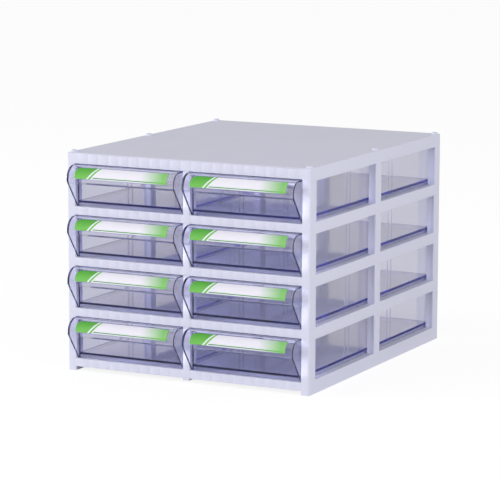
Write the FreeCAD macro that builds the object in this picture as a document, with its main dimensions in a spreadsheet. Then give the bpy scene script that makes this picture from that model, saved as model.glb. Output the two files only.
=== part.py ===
# Small-parts cabinet with eight clear drawers in two columns.
# The frame is four moulded tiers, plugged on each other with low pegs, under a top cover.
# Each drawer is one clear moulding with a rounded hood over its finger gap, and carries a paper card.
# Millimetres. +X is to the right seen from the front, +Y to the back, +Z up.
# The origin is on the floor, in the middle of the footprint with the hoods counted in.
import FreeCAD, Part
import os
import re
import Sketcher

# Every size that can be set by itself. A column of the sheet holds them as plain numbers.
SIZES = {
    # Frame
    "cabinet_width": 250.0,
    "frame_depth": 300.0,
    "tier_height": 48.0,
    "foot_height": 2.0,
    "cover_height": 12.0,
    "cover_plate": 2.0,
    "side_frame": 8.0,
    "side_plate": 2.0,
    "end_post": 13.0,
    "middle_post": 12.0,
    "centre_post": 6.5,
    "rail_lift": 2.0,
    "rail_height": 7.8,
    "rail_wall": 2.4,
    "shelf_wall": 2.0,
    "sill_rise": 1.0,
    "jamb_step": 0.8,
    "stop_height": 4.0,
    "stop_wall": 2.0,
    "corner_radius": 1.5,
    "cover_edge_radius": 0.8,
    # Reeds on the front rails
    "reed_count": 21.0,
    "reed_pitch": 10.8,
    "reed_flat": 0.3,
    "reed_height": 0.45,
    "reed_margin": 0.8,
    # Pegs and sockets between the tiers, and the gate mark of the cover
    "peg_diameter": 6.0,
    "peg_height": 1.8,
    "socket_play": 0.3,
    "socket_spare": 0.5,
    "gate_diameter": 4.0,
    "gate_depth": 0.3,
    # Drawer
    "side_gap": 0.6,
    "end_gap": 1.0,
    "drawer_lift": 0.3,
    "headroom": 0.4,
    "panel_setback": 2.5,
    "panel_wall": 2.2,
    "drawer_wall": 1.8,
    "wall_drop": 1.0,
    "floor_rise": 3.1,
    "floor_wall": 1.8,
    "rib_spacing": 8.0,
    "rib_width": 1.2,
    "rib_depth": 1.1,
    # Hood of the drawer
    "hood_reach": 16.0,
    "hood_radius": 12.0,
    "hood_wall": 1.6,
    "lip_length": 2.5,
    # Label card in its recess
    "label_margin": 8.0,
    "label_low_angle": 3.0,
    "label_high_angle": 61.0,
    "label_recess": 0.5,
    "label_thickness": 0.4,
    "label_play": 0.05,
    "label_edge_play": 0.15,
    "label_corner": 9.0,
}

ROWS = 4
SIDES = {"left": -1, "right": 1}

# Places that several pieces share, as formulas of the sizes
HALF_WIDTH = "(cabinet_width / 2)"
BAY_OUTSIDE = "(cabinet_width / 2 - side_frame)"
BAY_INSIDE = "(centre_post / 2)"
PLATE_INSIDE = "(cabinet_width / 2 - side_plate)"
MIDDLE_FRONT = "(frame_depth / 2 - middle_post / 2)"
MIDDLE_REAR = "(frame_depth / 2 + middle_post / 2)"
REAR_POST_FRONT = "(frame_depth - end_post)"
SHELF_TOP = "(rail_lift + rail_height)"
SHELF_UNDERSIDE = "(rail_lift + rail_height - shelf_wall)"
FRONT_PLANE = "(-(frame_depth - hood_reach) / 2)"
PEG_ROWS = ("end_post / 2", "frame_depth / 2", "frame_depth - end_post / 2")
PEG_COLUMN = "(cabinet_width / 2 - side_frame / 2)"

# Places of a drawer, from its own bottom and the front plane of the frame
DRAWER_HALF_WIDTH = "((cabinet_width / 2 - side_frame - centre_post / 2) / 2 - side_gap)"
DRAWER_HEIGHT = "(tier_height - rail_height - drawer_lift - headroom)"
DRAWER_REAR = "(frame_depth - stop_wall - end_gap)"
PANEL_INSIDE = "(panel_setback + panel_wall)"
FLOOR_TOP = "(floor_rise + floor_wall)"
INNER_HALF_WIDTH = "(" + DRAWER_HALF_WIDTH + " - drawer_wall)"
INNER_REAR = "(" + DRAWER_REAR + " - drawer_wall)"
INNER_LENGTH = "(" + INNER_REAR + " - " + PANEL_INSIDE + ")"
ARC_Y = "(hood_radius - hood_reach)"
ARC_Z = "(" + DRAWER_HEIGHT + " - hood_radius)"
LIP_Z = "(" + ARC_Z + " - lip_length)"
RECESS_RADIUS = "(hood_radius - label_recess)"
CARD_INNER_RADIUS = "(hood_radius - label_recess + label_play)"
CARD_OUTER_RADIUS = "(hood_radius - label_recess + label_play + label_thickness)"
CARD_EDGE_ANGLE = "(label_edge_play / hood_radius * 180 / pi)"
CARD_LOW_ANGLE = "(label_low_angle + " + CARD_EDGE_ANGLE + ")"
CARD_HIGH_ANGLE = "(label_high_angle - " + CARD_EDGE_ANGLE + ")"

doc = FreeCAD.newDocument("parts_cabinet")


def fill_sheet():
    """Write each size to the sheet as a number, and give its cell the size's name."""
    new_sheet = doc.addObject("Spreadsheet::Sheet", "Sizes")
    for row, (name, value) in enumerate(SIZES.items(), start=1):
        new_sheet.set("A%d" % row, name)
        new_sheet.set("B%d" % row, str(value))
        new_sheet.setAlias("B%d" % row, name)
    doc.recompute()
    return new_sheet


sheet = fill_sheet()


def expression(formula):
    """Put the sheet's name before each size that a formula names."""
    def on_sheet(word):
        return "Sizes." + word.group() if word.group() in SIZES else word.group()
    return re.sub(r"[a-z_]+", on_sheet, str(formula))


def measure(formula):
    """The number that a formula gives at the present sizes."""
    value = sheet.evalExpression(expression(formula))
    return float(getattr(value, "Value", value))


def bind(item, path, formula):
    """Tie a property of a document object to the sheet."""
    item.setExpression(path, expression(formula))


def new_body(label):
    """An empty body under its piece's name."""
    body = doc.addObject("PartDesign::Body", "Body")
    body.Label = label
    return body


def place(body, x, y, z):
    """Put a body where its piece stands in the cabinet."""
    for axis, formula in zip("xyz", (x, y, z)):
        bind(body, "Placement.Base." + axis, formula)


def new_sketch(body, role, height="0"):
    """A sketch on one of the body's own origin planes, lifted along its normal by a formula."""
    sketch = body.newObject("Sketcher::SketchObject", "Sketch")
    plane = [item for item in body.Origin.OriginFeatures if item.Role == role][0]
    sketch.AttachmentSupport = [(plane, "")]
    sketch.MapMode = "FlatFace"
    bind(sketch, "AttachmentOffset.Base.z", height)
    return sketch


def pin(item, point, x, y):
    """Rules that hold a point of a sketch at two formulas, measured from the sketch's origin."""
    return [(Sketcher.Constraint("DistanceX", -1, 1, item, point, measure(x)), x),
            (Sketcher.Constraint("DistanceY", -1, 1, item, point, measure(y)), y)]


def hold(sketch, rules):
    """Add constraints to a sketch in one go, and bind those that come with a formula."""
    numbers = sketch.addConstraint([constraint for constraint, _ in rules])
    for number, (_, formula) in zip(numbers, rules):
        if formula is not None:
            bind(sketch, "Constraints[%d]" % number, formula)


def add_outline(sketch, corners):
    """Add a closed outline through corners (x, y), each a pair of formulas, and return its rules.

    A corner may hold a third entry (radius, centre x, centre y, turn): then the side that leads
    from it to the next corner is an arc, and turn is 1 where the arc runs anticlockwise.
    """
    points = [FreeCAD.Vector(measure(corner[0]), measure(corner[1]), 0) for corner in corners]
    sides = []
    rules = []
    for number, corner in enumerate(corners):
        start = points[number]
        end = points[(number + 1) % len(points)]
        if len(corner) == 2:
            sides.append((sketch.addGeometry(Part.LineSegment(start, end), False), 1, 2))
            continue
        radius, centre_x, centre_y, turn = corner[2]
        centre = FreeCAD.Vector(measure(centre_x), measure(centre_y), 0)
        circle = Part.Circle(centre, FreeCAD.Vector(0, 0, 1), measure(radius))
        first, last = (start, end) if turn == 1 else (end, start)
        arc = Part.ArcOfCircle(circle, circle.parameter(first), circle.parameter(last))
        item = sketch.addGeometry(arc, False)
        sides.append((item, 1, 2) if turn == 1 else (item, 2, 1))
        rules.append((Sketcher.Constraint("Radius", item, measure(radius)), radius))
    for number, corner in enumerate(corners):
        side, start_point, _ = sides[number]
        before, _, end_point = sides[number - 1]
        rules.append((Sketcher.Constraint("Coincident", before, end_point, side, start_point), None))
        rules += pin(side, start_point, corner[0], corner[1])
    return rules


def draw_outline(sketch, corners):
    """Draw one closed outline, as add_outline describes it."""
    hold(sketch, add_outline(sketch, corners))


def draw_boxes(sketch, boxes):
    """Draw upright rectangles, each (x from, x to, y from, y to) in formulas."""
    rules = []
    for x_from, x_to, y_from, y_to in boxes:
        rules += add_outline(sketch, [(x_from, y_from), (x_to, y_from), (x_to, y_to), (x_from, y_to)])
    hold(sketch, rules)


def draw_circles(sketch, centres, diameter):
    """Draw circles of one diameter at centres (x, y) in formulas."""
    rules = []
    for x, y in centres:
        middle = FreeCAD.Vector(measure(x), measure(y), 0)
        circle = Part.Circle(middle, FreeCAD.Vector(0, 0, 1), measure(diameter) / 2)
        item = sketch.addGeometry(circle, False)
        rules += pin(item, 3, x, y)
        rules.append((Sketcher.Constraint("Diameter", item, measure(diameter)), diameter))
    hold(sketch, rules)


def pad(body, sketch, length, symmetric=False):
    """Add the sketch's outline to the body, along the sketch's normal or to both sides of it."""
    feature = body.newObject("PartDesign::Pad", "Pad")
    feature.Profile = sketch
    bind(feature, "Length", length)
    if symmetric:
        feature.SideType = "Symmetric"
    body.Tip = feature
    return feature


def pocket(body, sketch, depth, symmetric=False):
    """Cut the sketch's outline out of the body, along the sketch's normal or to both sides of it."""
    feature = body.newObject("PartDesign::Pocket", "Pocket")
    feature.Profile = sketch
    bind(feature, "Length", depth)
    if symmetric:
        feature.SideType = "Symmetric"
    else:
        feature.Reversed = True
    body.Tip = feature
    return feature


def cut_boxes(body, boxes, z_from, z_to):
    """Cut upright boxes out of a body between two heights."""
    sketch = new_sketch(body, "XY_Plane", z_from)
    draw_boxes(sketch, boxes)
    return pocket(body, sketch, "(%s) - (%s)" % (z_to, z_from))


def round_edges(body, radius, chosen):
    """Round the edges of the body's last feature that a test picks."""
    doc.recompute()
    base = body.Tip
    names = ["Edge%d" % number for number, edge in enumerate(base.Shape.Edges, start=1) if chosen(edge)]
    feature = body.newObject("PartDesign::Fillet", "Fillet")
    feature.Base = (base, names)
    bind(feature, "Radius", radius)
    body.Tip = feature
    return feature


def is_upright(edge):
    """True for a straight edge along Z."""
    bounds = edge.BoundBox
    return max(bounds.XLength, bounds.YLength) < 1e-4 < bounds.ZLength


def both_sides(x_from, x_to, y_from, y_to):
    """A box on the right half and its mirror image on the left half."""
    return [(x_from, x_to, y_from, y_to), ("-(%s)" % x_to, "-(%s)" % x_from, y_from, y_to)]


def between_posts(x_from, x_to, step="0"):
    """Boxes of both halves that fill the two gaps between the three side posts."""
    front_gap = ("(end_post - %s)" % step, "(%s + %s)" % (MIDDLE_FRONT, step))
    rear_gap = ("(%s - %s)" % (MIDDLE_REAR, step), "(%s + %s)" % (REAR_POST_FRONT, step))
    return both_sides(x_from, x_to, *front_gap) + both_sides(x_from, x_to, *rear_gap)


def add_block(body, z_from, z_to):
    """The full block of a frame piece, with its four upright corners rounded."""
    sketch = new_sketch(body, "XY_Plane", z_from)
    draw_boxes(sketch, [("-" + HALF_WIDTH, HALF_WIDTH, "0", "frame_depth")])
    pad(body, sketch, "(%s) - (%s)" % (z_to, z_from))
    round_edges(body, "corner_radius", is_upright)


def hollow_underside(body, ceiling):
    """Open the underside up to a ceiling, between the rails, the centre rib and the side posts."""
    inside_rails = ("rail_wall", "frame_depth - rail_wall")
    cut_boxes(body, both_sides(BAY_INSIDE, BAY_OUTSIDE, *inside_rails), "0", ceiling)
    cut_boxes(body, between_posts(BAY_OUTSIDE, PLATE_INSIDE), "0", ceiling)
    cut_boxes(body, both_sides(BAY_INSIDE, BAY_OUTSIDE, "0", "frame_depth"), "0", "rail_lift")


def add_pegs(body, height):
    """Six pegs on top of the side posts."""
    centres = [(sign + PEG_COLUMN, row) for sign in ("-", "") for row in PEG_ROWS]
    sketch = new_sketch(body, "XY_Plane", height)
    draw_circles(sketch, centres, "peg_diameter")
    pad(body, sketch, "peg_height")


def cut_sockets(body, height):
    """Six sockets in the underside that take the pegs of the tier below."""
    centres = [(sign + PEG_COLUMN, row) for sign in ("-", "") for row in PEG_ROWS]
    sketch = new_sketch(body, "XY_Plane", height)
    draw_circles(sketch, centres, "peg_diameter + socket_play")
    pocket(body, sketch, "peg_height + socket_spare")


def add_reeds(body, z_to):
    """A row of rounded upright reeds on the front rail."""
    half_chord = "((reed_pitch - reed_flat) / 2)"
    radius = "((%s * %s + reed_height * reed_height) / (2 * reed_height))" % (half_chord, half_chord)
    first = "(-(reed_count - 1) / 2 * reed_pitch)"
    right = "(%s + %s)" % (first, half_chord)
    left = "(%s - %s)" % (first, half_chord)
    root = "(rail_wall / 2)"
    centre_y = "(%s - reed_height)" % radius
    sketch = new_sketch(body, "XY_Plane", "rail_lift")
    arc = (radius, first, centre_y, 1)
    draw_outline(sketch, [(right, root), (left, root), (left, "0", arc), (right, "0")])
    reed = pad(body, sketch, "(%s) - rail_lift" % z_to)
    doc.recompute()
    pattern = body.newObject("PartDesign::LinearPattern", "Reeds")
    pattern.Originals = [reed]
    x_axis = [item for item in body.Origin.OriginFeatures if item.Role == "X_Axis"][0]
    pattern.Direction = (x_axis, [""])
    bind(pattern, "Occurrences", "reed_count")
    bind(pattern, "Length", "(reed_count - 1) * reed_pitch")
    body.Tip = pattern


def make_tier(label, level, has_foot):
    """One frame tier: a shelf with its rails, and the posts that carry the tier above."""
    body = new_body(label)
    bottom = "-foot_height" if has_foot else "0"
    add_block(body, bottom, "tier_height")
    if has_foot:
        middle = [("-" + BAY_OUTSIDE, BAY_OUTSIDE, "0", "frame_depth")]
        cut_boxes(body, middle, bottom, "0")
    stop_front = "(frame_depth - stop_wall)"
    bay = both_sides(BAY_INSIDE, BAY_OUTSIDE, "0", stop_front)
    above_stop = both_sides(BAY_INSIDE, BAY_OUTSIDE, stop_front, "frame_depth")
    cut_boxes(body, bay, SHELF_TOP, "tier_height")
    cut_boxes(body, above_stop, SHELF_TOP + " + stop_height", "tier_height")
    centre_gaps = [("-" + BAY_INSIDE, BAY_INSIDE, "end_post", MIDDLE_FRONT),
                   ("-" + BAY_INSIDE, BAY_INSIDE, MIDDLE_REAR, REAR_POST_FRONT)]
    cut_boxes(body, centre_gaps, SHELF_TOP, "tier_height")
    cut_boxes(body, between_posts(BAY_OUTSIDE, PLATE_INSIDE, "jamb_step"), SHELF_TOP, "tier_height")
    cut_boxes(body, between_posts(PLATE_INSIDE, HALF_WIDTH), SHELF_TOP + " + sill_rise", "tier_height")
    hollow_underside(body, SHELF_UNDERSIDE)
    add_reeds(body, SHELF_TOP)
    add_pegs(body, "tier_height")
    cut_sockets(body, bottom)
    place(body, "0", FRONT_PLANE, "foot_height + %d * tier_height" % level)
    return body


def make_cover(label):
    """The top cover, with a reeded rail, pegs for stacking and the mark of the moulding gate."""
    body = new_body(label)
    add_block(body, "0", "cover_height")
    top = measure("cover_height")
    round_edges(body, "cover_edge_radius", lambda edge: edge.BoundBox.ZMin > top - 1e-4)
    hollow_underside(body, "cover_height - cover_plate")
    add_reeds(body, "cover_height - reed_margin")
    add_pegs(body, "cover_height")
    cut_sockets(body, "0")
    gate = new_sketch(body, "XY_Plane", "cover_height - gate_depth")
    draw_circles(gate, [("0", "frame_depth / 2")], "gate_diameter")
    pocket(body, gate, "gate_depth")
    place(body, "0", FRONT_PLANE, "foot_height + %d * tier_height" % ROWS)
    return body


def rib_boxes():
    """Divider ribs: a pair on each side wall at one third and at two thirds of the length."""
    boxes = []
    for thirds in (1, 2):
        for sign in ("-", "+"):
            middle = "(%s + %s * %d / 3 %s rib_spacing / 2)" % (PANEL_INSIDE, INNER_LENGTH, thirds, sign)
            y_from = "(%s - rib_width / 2)" % middle
            y_to = "(%s + rib_width / 2)" % middle
            boxes += both_sides("(%s - rib_depth)" % INNER_HALF_WIDTH,
                                "(%s + drawer_wall / 2)" % INNER_HALF_WIDTH, y_from, y_to)
    return boxes


def add_tray(body):
    """The tray of a drawer: panel, walls, raised floor, skirt and divider ribs."""
    wall_top = "(%s - wall_drop)" % DRAWER_HEIGHT
    outline = new_sketch(body, "XY_Plane")
    half = DRAWER_HALF_WIDTH
    draw_boxes(outline, [("-" + half, half, "panel_setback", DRAWER_REAR)])
    pad(body, outline, DRAWER_HEIGHT)
    behind_panel = [("-" + half, half, PANEL_INSIDE, DRAWER_REAR)]
    cut_boxes(body, behind_panel, wall_top, DRAWER_HEIGHT)
    inside = [("-" + INNER_HALF_WIDTH, INNER_HALF_WIDTH, PANEL_INSIDE, INNER_REAR)]
    cut_boxes(body, inside, FLOOR_TOP, DRAWER_HEIGHT)
    cut_boxes(body, inside, "0", "floor_rise")
    ribs = new_sketch(body, "XY_Plane", "(%s - floor_wall / 2)" % FLOOR_TOP)
    draw_boxes(ribs, rib_boxes())
    pad(body, ribs, "%s - %s + floor_wall / 2" % (wall_top, FLOOR_TOP))


def add_hood(body):
    """The hood in front of the panel: a rounded shell, open below, with a cheek at each end."""
    outer = new_sketch(body, "YZ_Plane")
    nose = "(-hood_reach)"
    arc = ("hood_radius", ARC_Y, ARC_Z, -1)
    draw_outline(outer, [(PANEL_INSIDE, "0"), ("panel_setback", "0"), (nose, LIP_Z), (nose, ARC_Z, arc),
                         (ARC_Y, DRAWER_HEIGHT), (PANEL_INSIDE, DRAWER_HEIGHT)])
    pad(body, outer, "2 * " + DRAWER_HALF_WIDTH, symmetric=True)
    inner = new_sketch(body, "YZ_Plane")
    radius = "(hood_radius - hood_wall)"
    inner_nose = "(hood_wall - hood_reach)"
    inner_top = "(%s - hood_wall)" % DRAWER_HEIGHT
    arc = (radius, ARC_Y, ARC_Z, -1)
    below = "(-hood_wall)"
    draw_outline(inner, [("panel_setback", below), (inner_nose, below), (inner_nose, ARC_Z, arc),
                         (ARC_Y, inner_top), ("panel_setback", inner_top)])
    pocket(body, inner, "2 * (%s - hood_wall)" % DRAWER_HALF_WIDTH, symmetric=True)


def draw_sector(sketch, inner_radius, outer_radius, low_angle, high_angle):
    """Draw the part of a ring about the hood's arc that lies between two angles above level."""
    def at(radius, angle):
        return ("(%s - %s * cos(%s))" % (ARC_Y, radius, angle), "(%s + %s * sin(%s))" % (ARC_Z, radius, angle))
    draw_outline(sketch, [at(outer_radius, high_angle),
                          at(inner_radius, high_angle) + ((inner_radius, ARC_Y, ARC_Z, 1),),
                          at(inner_radius, low_angle),
                          at(outer_radius, low_angle) + ((outer_radius, ARC_Y, ARC_Z, -1),)])


def cut_label_recess(body):
    """The shallow recess on the hood that the card lies in."""
    sketch = new_sketch(body, "YZ_Plane")
    draw_sector(sketch, RECESS_RADIUS, "(hood_radius + label_recess)", "label_low_angle", "label_high_angle")
    pocket(body, sketch, "2 * (%s - label_margin)" % DRAWER_HALF_WIDTH, symmetric=True)


def make_drawer(label, level, side):
    """One drawer with its hood, in its bay."""
    body = new_body(label)
    add_tray(body)
    add_hood(body)
    cut_label_recess(body)
    place_in_bay(body, level, side)
    return body


def round_card_corner(body, half_width):
    """Give a card its large round corner, at the upper left seen from the front."""
    left = "(-%s)" % half_width
    beyond_left = "(-%s - hood_wall)" % half_width
    inner_end = "(label_corner - %s)" % half_width
    top = "(%s + %s * sin(%s))" % (ARC_Z, CARD_OUTER_RADIUS, CARD_HIGH_ANGLE)
    beyond_top = "(%s + hood_wall)" % top
    lower_end = "(%s - label_corner)" % top
    arc = ("label_corner", inner_end, lower_end, -1)
    sketch = new_sketch(body, "XZ_Plane")
    draw_outline(sketch, [(beyond_left, beyond_top), (beyond_left, lower_end), (left, lower_end, arc),
                          (inner_end, top), (inner_end, beyond_top)])
    pocket(body, sketch, "hood_reach")


def make_label(label, level, side):
    """The card of one drawer: a curved sheet with one large round corner."""
    body = new_body(label)
    sketch = new_sketch(body, "YZ_Plane")
    draw_sector(sketch, CARD_INNER_RADIUS, CARD_OUTER_RADIUS, CARD_LOW_ANGLE, CARD_HIGH_ANGLE)
    half_width = "(%s - label_margin - label_edge_play)" % DRAWER_HALF_WIDTH
    pad(body, sketch, "2 * " + half_width, symmetric=True)
    round_card_corner(body, half_width)
    place_in_bay(body, level, side)
    return body


def place_in_bay(body, level, side):
    """Put a drawer or its card in the bay of a tier, left or right of the centre posts."""
    x = "%d * (%s + %s) / 2" % (side, BAY_INSIDE, BAY_OUTSIDE)
    z = "foot_height + %d * tier_height + %s + drawer_lift" % (level, SHELF_TOP)
    place(body, x, FRONT_PLANE, z)


def make_cabinet():
    """All pieces of the cabinet. Row 1 is the top row of drawers."""
    pieces = [make_tier("base_frame", 0, True)]
    for level in range(1, ROWS):
        pieces.append(make_tier("frame_tier_%d" % (level + 1), level, False))
    pieces.append(make_cover("top_cover"))
    for level in range(ROWS):
        for side, sign in SIDES.items():
            bay = "row%d_%s" % (ROWS - level, side)
            pieces.append(make_drawer("drawer_" + bay, level, sign))
            pieces.append(make_label("label_card_" + bay, level, sign))
    return pieces


def check_document(pieces):
    """Stop if any object failed, or if a piece isn't one valid solid."""
    failed = [item.Label for item in doc.Objects if "Invalid" in item.State or "Error" in item.State]
    if failed:
        raise RuntimeError("failed objects: " + ", ".join(failed))
    for piece in pieces:
        shape = piece.Shape
        if shape.isNull() or not shape.isValid() or len(shape.Solids) != 1:
            raise RuntimeError("bad shape: " + piece.Label)
        print("%-24s %9.0f mm3, %d faces" % (piece.Label, shape.Volume, len(shape.Faces)))


cabinet = make_cabinet()
doc.recompute()
check_document(cabinet)
os.makedirs("parts", exist_ok=True)
for piece in cabinet:
    piece.Shape.exportStep("parts/%s.step" % piece.Label)
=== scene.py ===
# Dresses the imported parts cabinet: pale moulded frame, clear blue drawers and printed label cards.
# Everything is in metres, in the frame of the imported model: +X right, +Y back, +Z up.
import math

import bmesh
import bpy
from mathutils import Matrix, Vector


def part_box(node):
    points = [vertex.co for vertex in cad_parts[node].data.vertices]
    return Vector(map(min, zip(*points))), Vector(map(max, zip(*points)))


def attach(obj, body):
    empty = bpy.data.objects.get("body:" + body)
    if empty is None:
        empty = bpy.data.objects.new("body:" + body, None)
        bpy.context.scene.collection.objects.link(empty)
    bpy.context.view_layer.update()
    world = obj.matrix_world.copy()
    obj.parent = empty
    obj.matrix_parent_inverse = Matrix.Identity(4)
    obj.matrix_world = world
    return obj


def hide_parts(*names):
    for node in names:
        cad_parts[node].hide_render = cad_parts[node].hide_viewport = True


bl_info = {
    "name": "Parts Cabinet Dressing",
    "version": (1, 0, 0),
    "blender": (4, 5, 0),
    "location": "View3D > Sidebar > Cabinet",
    "description": "Finishes the frame, the drawers and the label cards of a small parts cabinet",
    "category": "Object",
}

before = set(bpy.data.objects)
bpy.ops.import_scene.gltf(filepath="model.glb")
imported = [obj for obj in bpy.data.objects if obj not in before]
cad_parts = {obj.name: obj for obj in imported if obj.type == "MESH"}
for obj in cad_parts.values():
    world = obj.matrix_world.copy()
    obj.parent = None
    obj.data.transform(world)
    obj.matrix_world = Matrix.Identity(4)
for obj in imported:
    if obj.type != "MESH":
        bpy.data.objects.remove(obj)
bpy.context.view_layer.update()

FRAME_NODES = ("base_frame", "frame_tier_2", "frame_tier_3", "frame_tier_4", "top_cover")
BAYS = tuple("row%d_%s" % (row, side) for row in (1, 2, 3, 4) for side in ("left", "right"))
MM = 0.001


class FrameSettings(bpy.types.PropertyGroup):
    """Finish of the moulded tiers and the cover"""
    colour: bpy.props.FloatVectorProperty(
        name="Colour", description="Pale lilac white of the moulded frame",
        subtype="COLOR", size=3, min=0, max=1, default=(0.80, 0.81, 0.965))
    edge_round: bpy.props.FloatProperty(
        name="Edge round", description="Radius left on the edges of the mouldings",
        unit="LENGTH", default=0.2 * MM, min=0)
    roughness: bpy.props.FloatProperty(
        name="Roughness", description="How matt the moulded faces are", default=0.45, min=0, max=1)
    grain: bpy.props.FloatProperty(
        name="Grain", description="Grains per metre of the fine moulded texture", default=900.0, min=1)


class DrawerSettings(bpy.types.PropertyGroup):
    """Finish of the clear drawers"""
    tint: bpy.props.FloatVectorProperty(
        name="Tint", description="Colour that the clear plastic takes on with thickness",
        subtype="COLOR", size=3, min=0, max=1, default=(0.05, 0.08, 0.87))
    density: bpy.props.FloatProperty(
        name="Density", description="How fast the plastic takes on its colour, per metre",
        default=28.0, min=0)
    gloss: bpy.props.FloatProperty(
        name="Roughness", description="Roughness of the clear faces", default=0.04, min=0, max=1)
    edge_round: bpy.props.FloatProperty(
        name="Edge round", description="Radius left on the edges of the clear mouldings",
        unit="LENGTH", default=0.3 * MM, min=0)


class CardSettings(bpy.types.PropertyGroup):
    """Size and print of the label cards"""
    hood_radius: bpy.props.FloatProperty(
        name="Hood radius", description="Outer radius of the hood that the card lies on",
        unit="LENGTH", default=12.0 * MM, min=0)
    recess: bpy.props.FloatProperty(
        name="Recess", description="Depth of the recess that holds the card",
        unit="LENGTH", default=0.5 * MM, min=0)
    play: bpy.props.FloatProperty(
        name="Play", description="Gap left under the card",
        unit="LENGTH", default=0.05 * MM, min=0)
    thickness: bpy.props.FloatProperty(
        name="Thickness", description="Thickness of the card",
        unit="LENGTH", default=0.4 * MM, min=0)
    low_angle: bpy.props.FloatProperty(
        name="Low angle", description="Where the card's lower edge lies on the hood, above level",
        subtype="ANGLE", default=math.radians(3.7))
    high_angle: bpy.props.FloatProperty(
        name="High angle", description="Where the card's upper edge lies on the hood, above level",
        subtype="ANGLE", default=math.radians(60.3))
    corner: bpy.props.FloatProperty(
        name="Corner", description="Radius of the card's one round corner",
        unit="LENGTH", default=9.0 * MM, min=0)
    paper: bpy.props.FloatVectorProperty(
        name="Paper", description="Colour of the blank paper",
        subtype="COLOR", size=3, min=0, max=1, default=(0.93, 0.91, 1.0))
    deep_green: bpy.props.FloatVectorProperty(
        name="Deep green", description="Darker printed green",
        subtype="COLOR", size=3, min=0, max=1, default=(0.02, 0.30, 0.012))
    light_green: bpy.props.FloatVectorProperty(
        name="Light green", description="Lighter printed green",
        subtype="COLOR", size=3, min=0, max=1, default=(0.20, 0.60, 0.11))


class StageSettings(bpy.types.PropertyGroup):
    """Camera, lamps and floor"""
    azimuth: bpy.props.FloatProperty(
        name="Azimuth", description="Turn of the camera to the right of the front",
        subtype="ANGLE", default=math.radians(26.63))
    elevation: bpy.props.FloatProperty(
        name="Elevation", description="Height of the camera above level",
        subtype="ANGLE", default=math.radians(9.40))
    roll: bpy.props.FloatProperty(
        name="Roll", description="Turn of the camera about its own line of sight",
        subtype="ANGLE", default=math.radians(0.21))
    distance: bpy.props.FloatProperty(
        name="Distance", description="From the camera to the middle of the frame",
        unit="LENGTH", default=2.478)
    aside: bpy.props.FloatProperty(
        name="Aside", description="Camera's step to the right", unit="LENGTH", default=-8.8 * MM)
    upward: bpy.props.FloatProperty(
        name="Upward", description="Camera's step up", unit="LENGTH", default=-2.2 * MM)
    lens: bpy.props.FloatProperty(
        name="Lens", description="Focal length in millimetres on a 36 mm sensor", default=185.0)
    floor_colour: bpy.props.FloatVectorProperty(
        name="Floor", description="Colour of the floor", subtype="COLOR", size=3, min=0, max=1,
        default=(0.80, 0.80, 0.81))
    ambient: bpy.props.FloatProperty(
        name="Ambient", description="Strength of the room's light", default=0.50, min=0)
    inside: bpy.props.FloatProperty(
        name="Inside", description="Extra room light for what lies behind clear plastic",
        default=1.4, min=0)
    key_power: bpy.props.FloatProperty(
        name="Key lamp", description="Power of the front left softbox in watts", default=26.0, min=0)
    bounces: bpy.props.IntProperty(
        name="Bounces", description="How many clear faces a ray of light may pass", default=24, min=1)
    fill_power: bpy.props.FloatProperty(
        name="Fill lamp", description="Power of the right softbox in watts", default=14.0, min=0)
    front_power: bpy.props.FloatProperty(
        name="Front lamp", description="Power of the softbox before the drawers in watts",
        default=3.0, min=0)


def new_object(name, mesh):
    """An object at the origin that holds a mesh."""
    piece = bpy.data.objects.new(name, mesh)
    bpy.context.scene.collection.objects.link(piece)
    return piece


def finish_edges(piece, width, crease):
    """Round the sharp edges of a piece and shade its curved faces smoothly, up to a crease's angle."""
    piece.data.shade_smooth()
    piece.data.set_sharp_from_angle(angle=crease)
    rounding = piece.modifiers.new("edge_round", "BEVEL")
    rounding.width = width
    rounding.segments = 2
    rounding.limit_method = "ANGLE"
    rounding.angle_limit = math.radians(30)
    rounding.use_clamp_overlap = False
    rounding.loop_slide = False
    rounding.miter_outer = "MITER_SHARP"
    shading = piece.modifiers.new("even_shading", "WEIGHTED_NORMAL")
    shading.mode = "FACE_AREA"
    shading.weight = 100
    shading.keep_sharp = True


def merged_copy(node, name):
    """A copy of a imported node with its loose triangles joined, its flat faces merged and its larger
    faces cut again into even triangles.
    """
    shape = bmesh.new()
    shape.from_mesh(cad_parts[node].data)
    bmesh.ops.remove_doubles(shape, verts=shape.verts, dist=0.002 * MM)
    bmesh.ops.dissolve_limit(shape, angle_limit=math.radians(0.5), verts=shape.verts, edges=shape.edges)
    large = [face for face in shape.faces if len(face.verts) > 4]
    bmesh.ops.triangulate(shape, faces=large, quad_method="BEAUTY", ngon_method="BEAUTY")
    mesh = bpy.data.meshes.new(name)
    shape.to_mesh(mesh)
    shape.free()
    return new_object(name, mesh)


def new_material(name):
    """A node material with a Principled shader, and its node tree, shader and output."""
    material = bpy.data.materials.new(name)
    material.use_nodes = True
    tree = material.node_tree
    shader = tree.nodes["Principled BSDF"]
    output = tree.nodes["Material Output"]
    return material, tree, shader, output


def math_node(tree, operation, first, second=None, clamp=False):
    """A Math node fed by sockets or numbers, and its result."""
    node = tree.nodes.new("ShaderNodeMath")
    node.operation = operation
    node.use_clamp = clamp
    for socket, value in zip(node.inputs, (first, second)):
        if value is None:
            continue
        if isinstance(value, bpy.types.NodeSocket):
            tree.links.new(value, socket)
        else:
            socket.default_value = value
    return node.outputs[0]


def mix_colours(tree, factor, first, second):
    """A colour between two colours or colour sockets."""
    node = tree.nodes.new("ShaderNodeMix")
    node.data_type = "RGBA"
    tree.links.new(factor, node.inputs[0])
    for socket, value in ((node.inputs[6], first), (node.inputs[7], second)):
        if isinstance(value, bpy.types.NodeSocket):
            tree.links.new(value, socket)
        else:
            socket.default_value = (*value, 1.0)
    return node.outputs[2]


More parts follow.
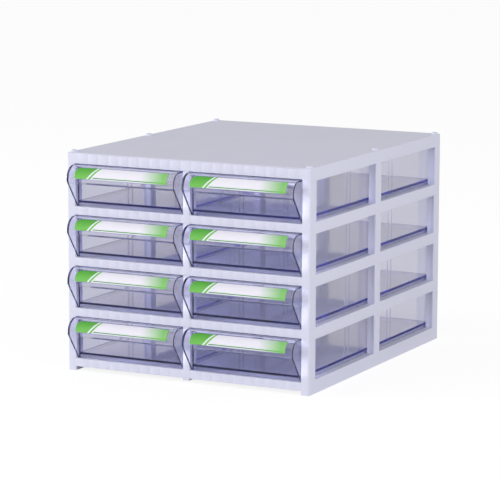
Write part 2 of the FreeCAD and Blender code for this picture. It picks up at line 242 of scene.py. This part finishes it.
def noise(tree, scale, detail=2.0):
    """Noise on object coordinates, and its value."""
    place = tree.nodes.new("ShaderNodeTexCoord")
    node = tree.nodes.new("ShaderNodeTexNoise")
    node.inputs["Scale"].default_value = scale
    node.inputs["Detail"].default_value = detail
    tree.links.new(place.outputs["Object"], node.inputs["Vector"])
    return node.outputs["Fac"]


def spread(tree, value, low, high):
    """Map a value from 0..1 to a range."""
    node = tree.nodes.new("ShaderNodeMapRange")
    node.inputs["To Min"].default_value = low
    node.inputs["To Max"].default_value = high
    tree.links.new(value, node.inputs["Value"])
    return node.outputs["Result"]


def bump(tree, shader, height, strength, distance):
    """Let a height make a shader's surface uneven."""
    node = tree.nodes.new("ShaderNodeBump")
    node.inputs["Strength"].default_value = strength
    node.inputs["Distance"].default_value = distance
    tree.links.new(height, node.inputs["Height"])
    tree.links.new(node.outputs["Normal"], shader.inputs["Normal"])


def frame_plastic(settings):
    """Pale moulded plastic: a satin skin with a fine grain and faint flow clouds."""
    material, tree, shader, _ = new_material("frame_plastic")
    clouds = noise(tree, 14.0, 3.0)
    colour = tuple(settings.colour)
    darker = tuple(channel * 0.95 for channel in colour)
    tree.links.new(mix_colours(tree, clouds, darker, colour), shader.inputs["Base Color"])
    rough = spread(tree, noise(tree, 60.0), settings.roughness - 0.05, settings.roughness + 0.05)
    tree.links.new(rough, shader.inputs["Roughness"])
    shader.inputs["IOR"].default_value = 1.5
    bump(tree, shader, noise(tree, settings.grain, 1.0), 0.12, 0.0002)
    return material


def clear_plastic(settings):
    """Clear plastic that turns blue violet with thickness, with a faint ripple of the mould."""
    material, tree, shader, output = new_material("clear_blue_plastic")
    shader.inputs["Base Color"].default_value = (0.97, 0.97, 1.0, 1.0)
    shader.inputs["Transmission Weight"].default_value = 1.0
    shader.inputs["IOR"].default_value = 1.5
    rough = spread(tree, noise(tree, 45.0), settings.gloss * 0.5, settings.gloss * 1.5)
    tree.links.new(rough, shader.inputs["Roughness"])
    bump(tree, shader, noise(tree, 70.0), 0.05, 0.0003)
    volume = tree.nodes.new("ShaderNodeVolumeAbsorption")
    volume.inputs["Color"].default_value = (*settings.tint, 1.0)
    volume.inputs["Density"].default_value = settings.density
    tree.links.new(volume.outputs["Volume"], output.inputs["Volume"])
    open_to_lamps = tree.nodes.new("ShaderNodeBsdfTransparent")
    open_to_lamps.inputs["Color"].default_value = (0.97, 0.97, 0.99, 1.0)
    path = tree.nodes.new("ShaderNodeLightPath")
    mix = tree.nodes.new("ShaderNodeMixShader")
    tree.links.new(path.outputs["Is Shadow Ray"], mix.inputs[0])
    tree.links.new(shader.outputs[0], mix.inputs[1])
    tree.links.new(open_to_lamps.outputs[0], mix.inputs[2])
    tree.links.new(mix.outputs[0], output.inputs["Surface"])
    return material


def between(tree, value, low, high):
    """1 where a value lies between two values, 0 elsewhere."""
    above = math_node(tree, "GREATER_THAN", value, low)
    below = math_node(tree, "LESS_THAN", value, high)
    return math_node(tree, "MULTIPLY", above, below)


def card_print(settings):
    """Coated paper: a slanted green end, a light bar, a thin rule and a fade to light green at the other
    end.
    """
    material, tree, shader, _ = new_material("label_card")
    place = tree.nodes.new("ShaderNodeTexCoord")
    parts = tree.nodes.new("ShaderNodeSeparateXYZ")
    tree.links.new(place.outputs["UV"], parts.inputs["Vector"])
    along = parts.outputs["X"]
    up = parts.outputs["Y"]
    slant = math_node(tree, "SUBTRACT", along, math_node(tree, "MULTIPLY", up, 0.10))
    deep = tuple(settings.deep_green)
    light = tuple(settings.light_green)
    paper = tuple(settings.paper)
    end_green = mix_colours(tree, math_node(tree, "MULTIPLY", up, 0.6), light, deep)
    colour = mix_colours(tree, between(tree, slant, -1.0, 0.13), paper, end_green)
    colour = mix_colours(tree, between(tree, slant, 0.15, 0.175), colour, light)
    rule = math_node(tree, "MULTIPLY", between(tree, up, 0.08, 0.15), between(tree, slant, 0.19, 2.0))
    colour = mix_colours(tree, rule, colour, deep)
    fade = spread_from(tree, along, 0.72, 0.95)
    colour = mix_colours(tree, math_node(tree, "MULTIPLY", fade, 0.9), colour, light)
    tree.links.new(colour, shader.inputs["Base Color"])
    shader.inputs["Roughness"].default_value = 0.5
    shader.inputs["Specular IOR Level"].default_value = 0.3
    bump(tree, shader, noise(tree, 1500.0, 1.0), 0.05, 0.0001)
    return material


def spread_from(tree, value, low, high):
    """Map a value's range to 0..1."""
    node = tree.nodes.new("ShaderNodeMapRange")
    node.inputs["From Min"].default_value = low
    node.inputs["From Max"].default_value = high
    tree.links.new(value, node.inputs["Value"])
    return node.outputs["Result"]


def card_shape(name, bay, settings):
    """A card cut flat with one round corner, given its thickness and bent round the hood."""
    drawer_low, drawer_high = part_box("drawer_" + bay)
    card_low, card_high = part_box("label_card_" + bay)
    radius = settings.hood_radius - settings.recess + settings.play
    centre_y = drawer_low.y + settings.hood_radius
    centre_z = drawer_high.z - settings.hood_radius
    width = card_high.x - card_low.x
    height = radius * (settings.high_angle - settings.low_angle)
    shape = bmesh.new()
    bmesh.ops.create_grid(shape, x_segments=1, y_segments=1, size=0.5)
    bmesh.ops.scale(shape, vec=(width, height, 1.0), verts=shape.verts)
    bmesh.ops.translate(shape, vec=(width / 2, height / 2, 0.0), verts=shape.verts)
    corner = min(shape.verts, key=lambda vert: vert.co.x - vert.co.y)
    bmesh.ops.bevel(shape, geom=[corner], offset=settings.corner, segments=12, profile=0.5,
                    affect="VERTICES", offset_type="WIDTH", material=-1)
    strips = 14
    for strip in range(1, strips):
        everything = shape.verts[:] + shape.edges[:] + shape.faces[:]
        bmesh.ops.bisect_plane(shape, geom=everything, plane_co=(0, height * strip / strips, 0),
                               plane_no=(0, 1, 0))
    layer = shape.loops.layers.uv.new("print")
    extruded = bmesh.ops.extrude_face_region(shape, geom=shape.faces[:])
    upper = [item for item in extruded["geom"] if isinstance(item, bmesh.types.BMVert)]
    bmesh.ops.translate(shape, vec=(0, 0, settings.thickness), verts=upper)
    bmesh.ops.recalc_face_normals(shape, faces=shape.faces)
    for face in shape.faces:
        for loop in face.loops:
            loop[layer].uv = (loop.vert.co.x / width, loop.vert.co.y / height)
    for vert in shape.verts:
        angle = settings.low_angle + vert.co.y / radius
        reach = radius + vert.co.z
        vert.co = Vector((card_low.x + vert.co.x, centre_y - reach * math.cos(angle),
                          centre_z + reach * math.sin(angle)))
    bmesh.ops.recalc_face_normals(shape, faces=shape.faces)
    mesh = bpy.data.meshes.new(name)
    shape.to_mesh(mesh)
    shape.free()
    return new_object(name, mesh)


class CABINET_OT_frame(bpy.types.Operator):
    """Dress the four tiers and the cover"""
    bl_idname = "cabinet.frame"
    bl_label = "Frame"

    def execute(self, context):
        settings = context.scene.cabinet_frame
        plastic = frame_plastic(settings)
        for node in FRAME_NODES:
            piece = merged_copy(node, node + "_moulding")
            finish_edges(piece, settings.edge_round, math.radians(7.5))
            piece.data.materials.clear()
            piece.data.materials.append(plastic)
            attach(piece, "cabinet")
            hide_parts(node)
        return {"FINISHED"}


class CABINET_OT_drawers(bpy.types.Operator):
    """Dress the eight clear drawers"""
    bl_idname = "cabinet.drawers"
    bl_label = "Drawers"

    def execute(self, context):
        settings = context.scene.cabinet_drawers
        plastic = clear_plastic(settings)
        for bay in BAYS:
            piece = merged_copy("drawer_" + bay, "clear_drawer_" + bay)
            finish_edges(piece, settings.edge_round, math.radians(30))
            piece.data.materials.clear()
            piece.data.materials.append(plastic)
            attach(piece, "drawer_" + bay)
            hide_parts("drawer_" + bay)
        return {"FINISHED"}


class CABINET_OT_cards(bpy.types.Operator):
    """Print the eight label cards and bend them round their hoods"""
    bl_idname = "cabinet.cards"
    bl_label = "Label cards"

    def execute(self, context):
        settings = context.scene.cabinet_cards
        paper = card_print(settings)
        for bay in BAYS:
            piece = card_shape("printed_card_" + bay, bay, settings)
            piece.data.shade_smooth()
            piece.data.set_sharp_from_angle(angle=math.radians(30))
            piece.data.materials.append(paper)
            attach(piece, "drawer_" + bay)
            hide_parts("label_card_" + bay)
        return {"FINISHED"}


def place_camera(settings):
    """The camera at the picture's viewing angle."""
    azimuth = settings.azimuth
    elevation = settings.elevation
    back = Vector((math.sin(azimuth) * math.cos(elevation), -math.cos(azimuth) * math.cos(elevation),
                   math.sin(elevation)))
    right = (-back).cross(Vector((0, 0, 1))).normalized()
    up = right.cross(-back)
    turned_right = math.cos(settings.roll) * right + math.sin(settings.roll) * up
    turned_up = math.cos(settings.roll) * up - math.sin(settings.roll) * right
    base_low, base_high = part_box("base_frame")
    cover_low, cover_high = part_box("top_cover")
    middle = Vector((0.0, (cover_low.y + cover_high.y) / 2, (base_low.z + cover_high.z) / 2))
    place = middle + back * settings.distance + turned_right * settings.aside + turned_up * settings.upward
    data = bpy.data.cameras.new("camera")
    data.lens = settings.lens
    data.sensor_width = 36.0
    data.clip_end = 50.0
    camera = bpy.data.objects.new("camera", data)
    bpy.context.scene.collection.objects.link(camera)
    turn = Matrix((turned_right, turned_up, back)).transposed().to_4x4()
    camera.matrix_world = Matrix.Translation(place) @ turn
    bpy.context.scene.camera = camera


def place_softbox(name, place, target, size, power):
    """A square area lamp that faces a point."""
    data = bpy.data.lights.new(name, "AREA")
    data.energy = power
    data.shape = "SQUARE"
    data.size = size
    lamp = bpy.data.objects.new(name, data)
    lamp.location = place
    lamp.rotation_euler = (Vector(target) - Vector(place)).to_track_quat("-Z", "Y").to_euler()
    lamp.visible_transmission = False
    bpy.context.scene.collection.objects.link(lamp)
    return lamp


def seen_directly(tree):
    """1 for what the camera sees, and less for what a reflection or a view through clear plastic sees."""
    path = tree.nodes.new("ShaderNodeLightPath")
    mirrored = math_node(tree, "MULTIPLY", path.outputs["Is Glossy Ray"], 0.3)
    behind = math_node(tree, "MULTIPLY", path.outputs["Is Transmission Ray"], 0.35)
    dimmer = math_node(tree, "MAXIMUM", mirrored, behind)
    return math_node(tree, "MAXIMUM", path.outputs["Is Camera Ray"], dimmer)


def light_room(settings):
    """A white room: white where it is seen, softer where it lights the cabinet."""
    world = bpy.data.worlds.new("room")
    bpy.context.scene.world = world
    world.use_nodes = True
    tree = world.node_tree
    background = tree.nodes["Background"]
    path = tree.nodes.new("ShaderNodeLightPath")
    warm = mix_colours(tree, path.outputs["Is Transmission Ray"], (1.0, 1.0, 1.0), (1.0, 0.965, 0.85))
    tree.links.new(warm, background.inputs["Color"])
    strength = spread(tree, seen_directly(tree), settings.ambient, 1.0)
    scattered = math_node(tree, "GREATER_THAN", path.outputs["Diffuse Depth"], 0.5)
    walled = between(tree, path.outputs["Transmission Depth"], 7.5, 11.5)
    inward = math_node(tree, "MULTIPLY", scattered, walled)
    inside = math_node(tree, "MULTIPLY", inward, settings.inside)
    tree.links.new(math_node(tree, "ADD", strength, inside), background.inputs["Strength"])


def lay_floor(settings):
    """A pale floor that reads near white where it is seen and keeps a soft shadow."""
    shape = bmesh.new()
    bmesh.ops.create_grid(shape, x_segments=1, y_segments=1, size=6.0)
    mesh = bpy.data.meshes.new("floor")
    shape.to_mesh(mesh)
    shape.free()
    floor = new_object("floor", mesh)
    material, tree, shader, output = new_material("floor")
    shader.inputs["Base Color"].default_value = (*settings.floor_colour, 1.0)
    shader.inputs["Roughness"].default_value = 0.9
    glow = tree.nodes.new("ShaderNodeEmission")
    glow.inputs["Strength"].default_value = 1.15
    mix = tree.nodes.new("ShaderNodeMixShader")
    tree.links.new(spread(tree, seen_directly(tree), 0.0, 0.75), mix.inputs[0])
    tree.links.new(shader.outputs[0], mix.inputs[1])
    tree.links.new(glow.outputs[0], mix.inputs[2])
    tree.links.new(mix.outputs[0], output.inputs["Surface"])
    mesh.materials.append(material)


class CABINET_OT_stage(bpy.types.Operator):
    """Place the camera, the lamps and the floor"""
    bl_idname = "cabinet.stage"
    bl_label = "Stage"

    def execute(self, context):
        settings = context.scene.cabinet_stage
        place_camera(settings)
        place_softbox("key_lamp", (-2.0, -1.15, 0.55), (0, 0, 0.1), 0.8, settings.key_power)
        place_softbox("fill_lamp", (1.95, -1.0, 0.85), (0, 0, 0.1), 0.8, settings.fill_power)
        place_softbox("front_lamp", (0.3, -2.4, 0.75), (0, 0, 0.1), 0.8, settings.front_power)
        light_room(settings)
        lay_floor(settings)
        context.scene.view_settings.view_transform = "Standard"
        context.scene.cycles.max_bounces = settings.bounces
        context.scene.cycles.transmission_bounces = settings.bounces
        context.scene.cycles.glossy_bounces = settings.bounces
        return {"FINISHED"}


class CABINET_PT_panel(bpy.types.Panel):
    """Sizes, colours and steps of the cabinet's dressing"""
    bl_label = "Parts cabinet"
    bl_idname = "CABINET_PT_panel"
    bl_space_type = "VIEW_3D"
    bl_region_type = "UI"
    bl_category = "Cabinet"

    def draw(self, context):
        layout = self.layout
        for operator, (name, group) in zip(OPERATORS, GROUPS.items()):
            section = layout.box()
            section.label(text=operator.bl_label)
            settings = getattr(context.scene, name)
            for size in group.__annotations__:
                section.prop(settings, size)
            section.operator(operator.bl_idname)


GROUPS = {
    "cabinet_stage": StageSettings,
    "cabinet_frame": FrameSettings,
    "cabinet_drawers": DrawerSettings,
    "cabinet_cards": CardSettings,
}
OPERATORS = (CABINET_OT_stage, CABINET_OT_frame, CABINET_OT_drawers, CABINET_OT_cards)


def register():
    for name, group in GROUPS.items():
        bpy.utils.register_class(group)
        setattr(bpy.types.Scene, name, bpy.props.PointerProperty(type=group))
    for operator in OPERATORS:
        bpy.utils.register_class(operator)
    bpy.utils.register_class(CABINET_PT_panel)


def unregister():
    bpy.utils.unregister_class(CABINET_PT_panel)
    for operator in reversed(OPERATORS):
        bpy.utils.unregister_class(operator)
    for name, group in reversed(GROUPS.items()):
        delattr(bpy.types.Scene, name)
        bpy.utils.unregister_class(group)


def main():
    """Dress the cabinet."""
    register()
    bpy.ops.cabinet.stage()
    bpy.ops.cabinet.frame()
    bpy.ops.cabinet.drawers()
    bpy.ops.cabinet.cards()


if __name__ == "__main__":
    main()
